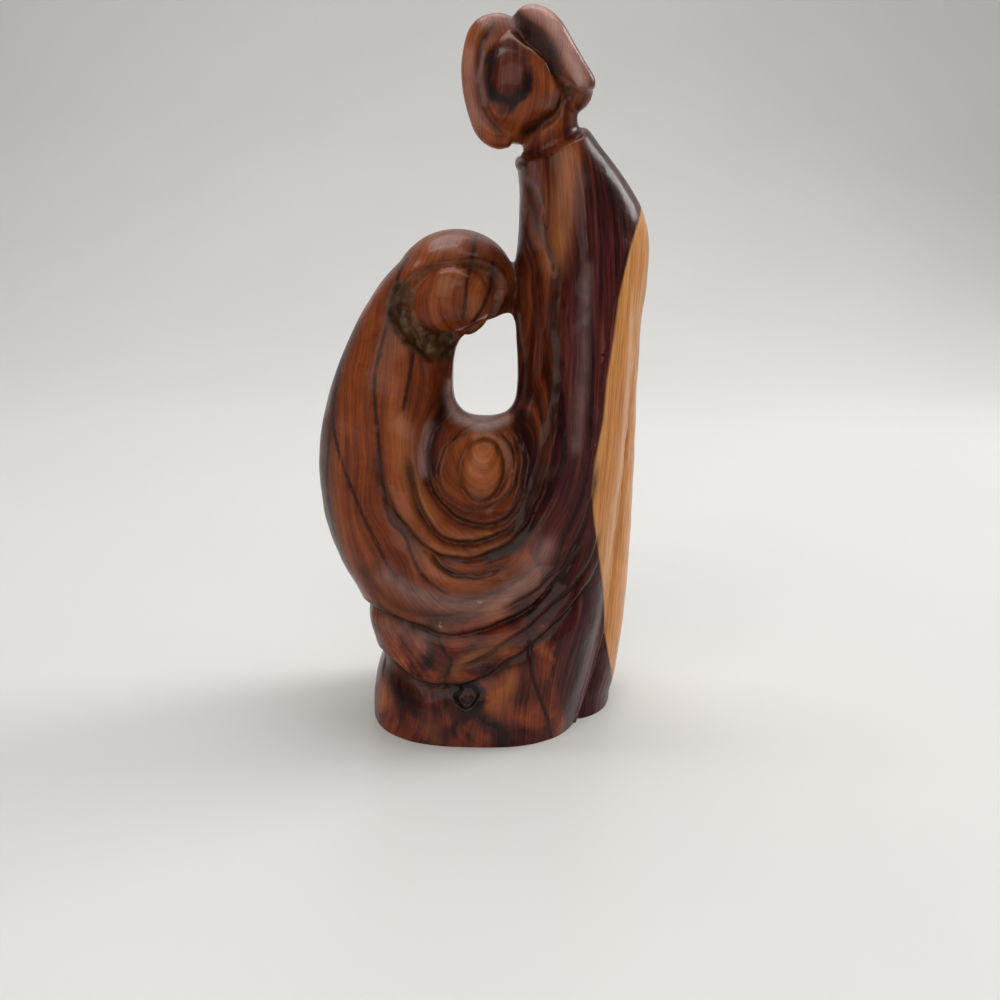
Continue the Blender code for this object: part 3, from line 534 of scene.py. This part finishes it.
# Painted sheen: pinkish pale patches where the lacquer catches the light, on the hair's ridges, the shelf
# under the gap, the robe's crest, the lap's shelf and the hood's top.
PAINTED_SHEEN_PATCHES = [
    ([(6.4, 99.0), (8.8, 97.4), (10.8, 94.6), (12.2, 92.0), (13.2, 90.0)], 1.1, 0.85),
    ([(0.6, 97.0), (2.2, 97.8), (3.6, 97.2)], 0.9, 0.7),
    ([(-2.0, 93.0), (-1.8, 88.0), (-0.6, 84.6)], 1.2, 0.35),
    ([(0.3, 94.4), (-0.1, 91.0), (0.4, 87.0)], 0.5, 0.3),
    ([(-3.9, 49.6), (-3.8, 47.4), (-3.0, 45.6), (-1.4, 44.5), (0.6, 44.1), (2.6, 44.2), (4.4, 44.9)],
     0.6, 1.0),
    ([(14.6, 66.0), (14.4, 58.0), (14.3, 50.0), (13.8, 42.0)], 0.8, 0.22),
    ([(-12.0, 24.0), (-7.6, 21.6), (-2.0, 20.4), (3.0, 21.2), (7.6, 24.4), (10.0, 28.6)], 1.4, 0.32),
    ([(-12.4, 16.2), (-6.6, 14.6)], 1.2, 0.25),
    ([(7.2, 79.0), (8.0, 74.0), (8.2, 69.0)], 0.8, 0.18),
    ([(-6.4, 44.4), (-7.2, 41.0), (-7.0, 38.0)], 0.6, 0.4),
    ([(-5.6, 68.8), (-2.0, 70.0), (1.0, 69.2)], 1.0, 0.35),
]


def note(name, values):
    """Keep one number per point of the surface for the finish to read."""
    layer = carving.data.attributes.new(name, "FLOAT", "POINT")
    layer.data.foreach_set("value", np.asarray(values, dtype=np.float32))


def patches(rows):
    """Soft patches along short lines, strongest of them at every point."""
    total = np.zeros(len(x))
    for line, width, strength in rows:
        gap = near(line, x, z, 4 * width)[0]
        total = np.maximum(total, strength * np.exp(-((gap / width) ** 2)))
    return total * ease((2.0 - y) / 4.0)


ahead = ease((3.0 - y) / 4.0)
head_part = ease((z - 80.0 - 0.55 * (x - 5.0)) / 1.5)
sap_line = np.interp(z, [row[0] for row in SAP_EDGE], [row[1] for row in SAP_EDGE])
sap = x - sap_line - np.clip(y, 0.0, 8.0) * 0.25
note("sap", sap - 20.0 * head_part)
heart_line = np.interp(z, [row[0] for row in HEART_EDGE], [row[1] for row in HEART_EDGE])
heart = x - heart_line
note("heart", heart * (1 - head_part) - 6.0 * head_part)
vein = np.full(len(points), 9.0)
for line in VEINS:
    vein = np.minimum(vein, near(line, x, z, 6.0)[0])
vein += 9.0 * (y > 4.0)
note("vein", np.exp(-((vein / 0.40) ** 2)))
note("vein_side", np.exp(-((vein / 1.5) ** 2)))
bowl = np.hypot(x - 1.0, 0.68 * np.minimum(z - 44.0, 0.0))
lap_height = np.interp(x, [p[0] for p in LAP_EDGE], [p[1] for p in LAP_EDGE])
foot_part = ease((lap_height - z) / 2.0 + 0.3)
from_knot = np.hypot(x - KNOT[0], z - KNOT[1])
slanted = x - 0.16 * z + 9.0 - 2.4 * np.exp(-((from_knot / 3.4) ** 2)) * np.sign(x - KNOT[0])
grain = bowl * (1 - foot_part) + slanted * foot_part
grain = np.where(sap > -0.3, 60.0 + 1.1 * (x - 0.04 * z), grain)
note("grain", grain + 0.45 * y * (sap < -0.3))
note("height", z)
note("robe", ease((x - 4.6) / 1.2) * ease((z - 26.0) / 10.0) * (1 - head_part))
note("foot", ease((24.0 + 0.35 * np.clip(x, -8.0, 14.0) - z) / 7.0) * ahead)
note("stain_and_shade", patches(STAINS_AND_SHADE))
note("pale_wood_and_sheen", patches(PALE_WOOD_AND_SHEEN))
note("painted_sheen", patches(PAINTED_SHEEN_PATCHES))
in_face = swell(x, z, BOWED_FACE, BOWED_FACE_HALF, 1.0) > 0.2
dirt = ease((2.3 - near(CHIN_HOLLOW, x, z, 8.0)[0]) / 0.8) * ~in_face * (y < 0)
gap, side, along = near(HOOD_OPENING + HOOD_OPENING[:1], x, z, 6.0)
dirt = np.maximum(dirt, 0.55 * ease((gap * side - 0.1) / 0.5) * (gap < 3.2) * ~in_face * (y < 0))
for line, width in ((SHAWL_EDGE, 1.8), (LAP_EDGE, 1.5)):
    gap, side, along = near(line, x, z, 6.0)
    moss = ease((width - np.abs(gap * side + 0.6)) / width) * ease((0.0 - x) / 7.0) * 0.75
    dirt = np.maximum(dirt, moss * (gap < 4.0) * (y < 2))
note("dirt", dirt)
# Painted shade along the fold lines, the creases and the rings round the child and the hood opening.
shade = np.zeros(len(points))
for line, width in ((ARM_FOLD, 0.9), (SLEEVE_FOLD, 0.8), (LAP_CREASE, 0.7), (SWADDLE_RIM, 0.7),
                    (FRONT_PANEL, 0.8), (HAIR_RIGHT, 0.8), (HAIR_LEFT, 0.5), (JAW, 0.7), (LAP_FOLD, 0.6),
                    (SHAWL_EDGE, 0.6), (LAP_EDGE, 0.5), (SLEEVE_SLIT, 0.4), (SHAWL_BAND, 0.4)):
    gap, side, along = near(line, x, z, 5.0)
    shade = np.maximum(shade, np.exp(-(((gap * side + 0.4 * width) / width) ** 2)) * ends(along, 0.15, 0.15))
for line, width in ((ring(SWADDLE_CENTRE, SWADDLE_HALF), 0.35), (ring(CHILD_FACE, CHILD_FACE_HALF), 0.4),
                    (HOOD_OPENING + HOOD_OPENING[:1], 0.35)):
    gap = near(line, x, z, 3.0)[0]
    shade = np.maximum(shade, 0.75 * np.exp(-((gap / width) ** 2)))
note("shade", shade * (y < 3))
note("knot", np.hypot(x - KNOT[0], (z - KNOT[1]) * 1.08) * 0.8 + 9.0 * (y > 0))
eye = np.hypot((x - 3.5) / 3.0, (z - 90.4) / 4.0)
turn = np.arctan2((z - 90.4) / 4.0, (x - 3.5) / 3.0)
arc = 0.35 + 0.65 * np.maximum(ease((np.cos(turn - math.radians(190)) - 0.1) / 0.6),
                               ease((np.cos(turn - math.radians(300)) - 0.2) / 0.5))
note("eye", eye + 9.0 * (y > 0))
note("arc", arc)
LOBE_STAIN = [(4.6, 97.4), (5.5, 96.6), (6.8, 95.6), (8.4, 94.4), (9.5, 92.9), (9.7, 91.6)]
note("lobe", np.exp(-((near(LOBE_STAIN, x, z, 6.0)[0] / 1.3) ** 4)) * (y < 0))
note("pale", np.exp(-((np.hypot((x - 0.8) / 4.6, (z - 39.2) / 4.8)) ** 4)) * (y < 0))
chip = np.full(len(points), 9.0)
for cx, cz in CHIPS:
    chip = np.minimum(chip, np.hypot(x - cx, z - cz))
note("chip", np.where(y < 0, chip, 9.0))

carving.data.transform(Matrix.Translation(shift) @ Matrix.Scale(HUNDREDTH, 4))
carving.data.update()

# The finish. The olive wood is sanded by hand and brushed with clear lacquer, and shade is painted
# dark into its folds. Each tone is a row of places on the grain's scale and the colours there.
MID_BROWN = [(0.34, (0.050, 0.008, 0.004)), (0.44, (0.165, 0.034, 0.011)), (0.54, (0.300, 0.071, 0.019)),
             (0.66, (0.420, 0.125, 0.036))]
HEARTWOOD = [(0.38, (0.012, 0.002, 0.003)), (0.46, (0.030, 0.005, 0.006)), (0.54, (0.072, 0.013, 0.012)),
             (0.64, (0.150, 0.042, 0.035))]
SAPWOOD = [(0.34, (0.50, 0.180, 0.047)), (0.46, (0.61, 0.250, 0.072)), (0.56, (0.70, 0.325, 0.110)),
           (0.68, (0.62, 0.255, 0.075))]
FOOTWOOD = [(0.39, (0.011, 0.002, 0.002)), (0.45, (0.066, 0.011, 0.008)), (0.51, (0.150, 0.029, 0.015)),
            (0.57, (0.23, 0.048, 0.018)), (0.66, (0.41, 0.112, 0.034))]
VEIN_AND_SHADE_BLACK = (0.014, 0.005, 0.006, 1.0)
CREASE_SHADE_BROWN = (0.022, 0.006, 0.003, 1.0)
MOSS_BROWN = (0.040, 0.026, 0.011, 1.0)
DUST_BROWN = (0.125, 0.074, 0.036, 1.0)
KNOT_BLACK = (0.008, 0.005, 0.005, 1.0)
CHIP_PINK = (0.40, 0.24, 0.16, 1.0)
PALE_TAN = (0.44, 0.155, 0.048, 1.0)
VEIN_BROWN = (0.085, 0.020, 0.012, 1.0)
EYE_BLACK = (0.010, 0.006, 0.007, 1.0)
EYE_RED = (0.120, 0.022, 0.012, 1.0)
LOBE_BROWN = (0.018, 0.007, 0.007, 1.0)
KNOT_RED = (0.10, 0.028, 0.018, 1.0)
PORE_GREY = (0.40, 0.32, 0.30, 1.0)
PAINTED_SHEEN_PINK = (0.56, 0.350, 0.310, 1.0)

wood = bpy.data.materials.new("olive_wood")
wood.use_nodes = True
tree = wood.node_tree
shader = tree.nodes["Principled BSDF"]


def put(kind, **settings):
    made = tree.nodes.new(kind)
    for key, value in settings.items():
        setattr(made, key, value)
    return made


def feed(target, source):
    """Set a socket to a value, or link it to another socket."""
    if isinstance(source, bpy.types.NodeSocket):
        tree.links.new(source, target)
    else:
        target.default_value = source


def sums(operation, first, second=0.0):
    made = put("ShaderNodeMath", operation=operation)
    feed(made.inputs[0], first)
    feed(made.inputs[1], second)
    return made.outputs[0]


def read(name):
    return put("ShaderNodeAttribute", attribute_name=name).outputs["Fac"]


def step(value, low, high):
    """Soft step from 0 at low to 1 at high."""
    made = put("ShaderNodeMapRange", interpolation_type="SMOOTHSTEP")
    feed(made.inputs["Value"], value)
    feed(made.inputs["From Min"], low)
    feed(made.inputs["From Max"], high)
    return made.outputs["Result"]


def cloud(vector, scale, detail=2.0, rough=0.5, swirl=0.0):
    made = put("ShaderNodeTexNoise")
    feed(made.inputs["Distortion"], swirl)
    feed(made.inputs["Vector"], vector)
    feed(made.inputs["Scale"], scale)
    feed(made.inputs["Detail"], detail)
    feed(made.inputs["Roughness"], rough)
    return made.outputs["Fac"]


def blend(amount, first, second, mode="MIX"):
    made = put("ShaderNodeMix", data_type="RGBA", blend_type=mode)
    feed(made.inputs["Factor"], amount)
    feed(made.inputs[6], first)
    feed(made.inputs[7], second)
    return made.outputs[2]


def tones(value, stops):
    made = put("ShaderNodeValToRGB")
    feed(made.inputs["Fac"], value)
    ramp = made.color_ramp
    while len(ramp.elements) < len(stops):
        ramp.elements.new(0.5)
    for element, (place, colour) in zip(ramp.elements, stops):
        element.position = place
        element.color = (*colour, 1.0)
    return made.outputs["Color"]


hundredths = put("ShaderNodeMapping")
feed(hundredths.inputs["Vector"], put("ShaderNodeTexCoord").outputs["Object"])
hundredths.inputs["Scale"].default_value = (1 / HUNDREDTH, 1 / HUNDREDTH, 1 / HUNDREDTH)
spot = hundredths.outputs["Vector"]

sap_mask = step(read("sap"), 0.15, 0.55)
wander = cloud(spot, 0.07, 1.0)
fuzz = cloud(spot, 0.9, 3.0)
upright = sums("ADD", sap_mask, sums("MULTIPLY", read("robe"), 0.75))
calm = sums("MAXIMUM", sums("SUBTRACT", 1.0, upright), 0.0)
drift = sums("MULTIPLY", sums("SUBTRACT", wander, 0.5), 6.0)
across = sums("ADD", read("grain"), sums("MULTIPLY", drift, calm))
fibres = put("ShaderNodeCombineXYZ")
feed(fibres.inputs["X"], across)
feed(fibres.inputs["Y"], sums("MULTIPLY", read("height"), 0.035))
fibres = fibres.outputs["Vector"]
broad = cloud(fibres, 0.20, 1.0)
streaks = cloud(fibres, 0.85, 4.0, 0.62)
lines = cloud(fibres, 2.4, 3.0, 0.65)
threads = cloud(fibres, 4.5, 2.0, 0.6)
marble = cloud(spot, 0.18, 5.0, 0.6, 2.2)
finer = sums("ADD", sums("MULTIPLY", streaks, 0.40), sums("MULTIPLY", marble, 0.15))
mixed = sums("ADD", sums("MULTIPLY", broad, 0.45), finer)
mixed_robe = sums("ADD", sums("MULTIPLY", streaks, 0.5), sums("ADD", sums("MULTIPLY", lines, 0.3), -0.008))
along_robe = put("ShaderNodeMix", data_type="FLOAT")
feed(along_robe.inputs[0], read("robe"))
feed(along_robe.inputs[2], mixed)
feed(along_robe.inputs[3], mixed_robe)
colour = tones(along_robe.outputs[0], MID_BROWN)
mottle = cloud(spot, 0.13, 4.0, 0.5, 1.4)
ribbed = sums("ADD", sums("MULTIPLY", lines, 0.25), sums("MULTIPLY", streaks, 0.20))
foot_tone = tones(sums("ADD", ribbed, sums("MULTIPLY", mottle, 0.55)), FOOTWOOD)
colour = blend(read("foot"), colour, foot_tone)
heart_mask = step(sums("ADD", read("heart"), sums("MULTIPLY", sums("SUBTRACT", fuzz, 0.5), 1.8)), -0.4, 0.6)
heart_tone = tones(sums("ADD", sums("MULTIPLY", streaks, 0.75), sums("MULTIPLY", lines, 0.25)), HEARTWOOD)
colour = blend(sums("MULTIPLY", heart_mask, 0.95), colour, heart_tone)
# Pale golden patches, partly paler wood and partly painted highlight.
colour = blend(sums("MULTIPLY", read("pale_wood_and_sheen"), 0.75), colour, PALE_TAN)
# Dark stains, and painted shade in the pocket between the left arm and the child.
stain_and_shade_mix = sums("MULTIPLY", read("stain_and_shade"), sums("ADD", 0.45, sums("MULTIPLY", streaks, 1.2)))
colour = blend(stain_and_shade_mix, colour, VEIN_AND_SHADE_BLACK)
colour = blend(sums("MULTIPLY", read("pale"), 0.26), colour, PALE_TAN)
sap_tone = tones(sums("ADD", sums("MULTIPLY", lines, 0.25), sums("MULTIPLY", streaks, 0.75)), SAPWOOD)
colour = blend(sap_mask, colour, sap_tone)

# The old wounds: black lines with a brown stain along them.
colour = blend(sums("MULTIPLY", read("vein_side"), sums("MULTIPLY", fuzz, 0.8)), colour, VEIN_BROWN)
vein_mask = step(sums("ADD", read("vein"), sums("MULTIPLY", sums("SUBTRACT", fuzz, 0.5), 0.25)), 0.32, 0.95)
colour = blend(sums("MULTIPLY", vein_mask, 0.8), colour, VEIN_AND_SHADE_BLACK)

# The dark rings in the wood of the upper face, and the dark stain inside the right roll of hair.
eye = sums("ADD", read("eye"), sums("MULTIPLY", sums("SUBTRACT", cloud(spot, 0.5, 3.0), 0.5), 0.7))
eye_all = sums("SUBTRACT", 1.0, step(eye, 0.8, 1.35))
colour = blend(sums("MULTIPLY", eye_all, 0.75), colour, tones(streaks, HEARTWOOD))
eye_ring = sums("MULTIPLY", step(eye, 0.45, 0.85), sums("SUBTRACT", 1.0, step(eye, 0.95, 1.3)))
colour = blend(sums("MULTIPLY", eye_ring, sums("MULTIPLY", read("arc"), 0.95)), colour, EYE_BLACK)
eye_core = sums("SUBTRACT", 1.0, step(eye, 0.15, 0.75))
colour = blend(sums("MULTIPLY", eye_core, sums("MULTIPLY", streaks, 0.9)), colour, EYE_RED)
lobe_stain = sums("MULTIPLY", read("lobe"), sums("ADD", 0.62, sums("MULTIPLY", streaks, 0.6)))
colour = blend(lobe_stain, colour, LOBE_BROWN)

# Dirt gathers in the hollows, shade is painted dark into the folds, a painted sheen lies on the
# ridges, and the knot and the chips break the surface.
dirt = read("dirt")
mossy = blend(step(cloud(spot, 0.55, 3.0), 0.42, 0.68), MOSS_BROWN, DUST_BROWN)
colour = blend(sums("MULTIPLY", dirt, 0.8), colour, mossy)
# Painted shade: the folds, creases and rings are darkened where shade falls in them.
painted_crease_shade = sums("MULTIPLY", read("shade"), sums("ADD", 0.34, sums("MULTIPLY", cloud(spot, 0.25, 2.0), 0.9)))
colour = blend(painted_crease_shade, colour, CREASE_SHADE_BROWN)
knot_reach = sums("ADD", read("knot"), sums("MULTIPLY", sums("SUBTRACT", fuzz, 0.5), 2.2))
knot_mask = sums("SUBTRACT", 1.0, step(knot_reach, 1.5, 2.7))
colour = blend(sums("MULTIPLY", knot_mask, 0.97), colour, KNOT_BLACK)
knot_heart = sums("SUBTRACT", 1.0, step(knot_reach, 0.1, 0.7))
colour = blend(sums("MULTIPLY", knot_heart, 0.4), colour, KNOT_RED)
# Painted sheen: a pinkish pale mix on the ridges and shelves, standing in for the lacquer's reflections.
painted_sheen_mix = sums("MULTIPLY", read("painted_sheen"), sums("ADD", 0.40, sums("MULTIPLY", cloud(spot, 0.5, 3.0), 0.8)))
colour = blend(painted_sheen_mix, colour, PAINTED_SHEEN_PINK)
chip_reach = sums("ADD", read("chip"), sums("MULTIPLY", cloud(spot, 2.2, 2.0), 1.2))
chip_mask = sums("SUBTRACT", 1.0, step(chip_reach, 0.85, 1.05))
colour = blend(sums("MULTIPLY", chip_mask, 0.7), colour, CHIP_PINK)
colour = blend(sums("MULTIPLY", step(threads, 0.42, 0.66), 0.35), colour, PORE_GREY, "MULTIPLY")
feed(shader.inputs["Base Color"], colour)

rough = sums("ADD", sums("MULTIPLY", dirt, 0.15), sums("ADD", 0.26, sums("MULTIPLY", fuzz, 0.14)))
feed(shader.inputs["Roughness"], rough)
shader.inputs["Specular IOR Level"].default_value = 0.13
shader.inputs["Specular Tint"].default_value = (1.0, 0.80, 0.74, 1.0)
shader.inputs["Coat Weight"].default_value = 0.19
shader.inputs["Coat Roughness"].default_value = 0.11
bump = put("ShaderNodeBump")
bump.inputs["Strength"].default_value = 0.25
bump.inputs["Distance"].default_value = 0.0006
feed(bump.inputs["Height"], sums("ADD", cloud(spot, 0.7, 3.0), sums("MULTIPLY", threads, 0.15)))
feed(shader.inputs["Normal"], bump.outputs["Normal"])

carving.data.materials.clear()
carving.data.materials.append(wood)
pick(carving)
bpy.ops.object.shade_smooth_by_angle(angle=math.radians(55))
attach(carving, "root")
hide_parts("holy_family_carving")

# The studio. A pale, satin sheet of paper runs under the carving and curves up behind it. Broad
# soft lights hang overhead and in front, a small one stands at the right for the glints, and one
# more lights the sheet.
BEND = 1.1
SHEET_WHITE = [(0.30, (0.690, 0.685, 0.670)), (0.70, (0.712, 0.707, 0.692))]
rows = [(-2.0, 0.0)]
rows += [(0.6 + BEND * math.sin(a), BEND * (1 - math.cos(a))) for a in np.linspace(0.0, math.pi / 2, 40)]
rows += [(0.6 + BEND, 3.0)]
backdrop = bmesh.new()
left = [backdrop.verts.new((-3.0, y, z)) for y, z in rows]
right = [backdrop.verts.new((3.0, y, z)) for y, z in rows]
for i in range(len(rows) - 1):
    backdrop.faces.new((left[i], right[i], right[i + 1], left[i + 1]))
sheet_mesh = bpy.data.meshes.new("floor")
backdrop.to_mesh(sheet_mesh)
backdrop.free()
floor = bpy.data.objects.new("floor", sheet_mesh)
bpy.context.scene.collection.objects.link(floor)
for face in floor.data.polygons:
    face.use_smooth = True
paper = bpy.data.materials.new("pale_floor")
paper.use_nodes = True
tree = paper.node_tree
shader = tree.nodes["Principled BSDF"]
place = put("ShaderNodeTexCoord").outputs["Object"]
feed(shader.inputs["Base Color"], tones(cloud(place, 5.0, 3.0), SHEET_WHITE))
feed(shader.inputs["Roughness"], sums("ADD", 0.28, sums("MULTIPLY", cloud(place, 40.0, 2.0), 0.08)))
floor.data.materials.append(paper)


def lamp(name, place, aim, width, height, power, colour):
    light = bpy.data.lights.new(name, "AREA")
    light.shape = "RECTANGLE"
    light.size = width
    light.size_y = height
    light.energy = power
    light.color = colour
    stand = bpy.data.objects.new(name, light)
    stand.location = place
    stand.rotation_euler = (Vector(aim) - Vector(place)).to_track_quat("-Z", "Y").to_euler()
    bpy.context.scene.collection.objects.link(stand)


lamp("overhead", (0.05, 0.25, 1.1), (0.0, 0.05, 0.05), 1.4, 0.8, 7.5, (1.0, 0.99, 0.97))
lamp("front", (-0.35, -1.3, 0.9), (0.0, 0.0, 0.08), 1.8, 1.3, 12.5, (1.0, 0.97, 0.93))
lamp("right", (0.80, 0.34, 0.62), (0.0, 0.0, 0.10), 0.40, 0.40, 4.5, (1.0, 1.0, 1.0))
lamp("sheet light", (0.0, 0.3, 1.9), (0.0, 1.6, 0.8), 2.4, 0.5, 16.0, (1.0, 1.0, 1.0))

world = bpy.data.worlds.new("studio")
bpy.context.scene.world = world
world.use_nodes = True
world.node_tree.nodes["Background"].inputs["Color"].default_value = (0.80, 0.82, 0.84, 1.0)
world.node_tree.nodes["Background"].inputs["Strength"].default_value = 0.12
bpy.context.scene.view_settings.view_transform = "Standard"

viewpoint = bpy.data.cameras.new("camera")
viewpoint.sensor_width = 36.0
viewpoint.lens = 36.0
viewpoint.clip_start = 0.01
camera = bpy.data.objects.new("camera", viewpoint)
bpy.context.scene.collection.objects.link(camera)
tilt = Euler((math.radians(90 - 13.35), 0.0, 0.0)).to_matrix().to_4x4()
roll = Matrix.Rotation(math.radians(1.1), 4, "Z")
camera.matrix_world = Matrix.Translation((0.0054, -0.241, 0.110)) @ tilt @ roll
bpy.context.scene.camera = camera
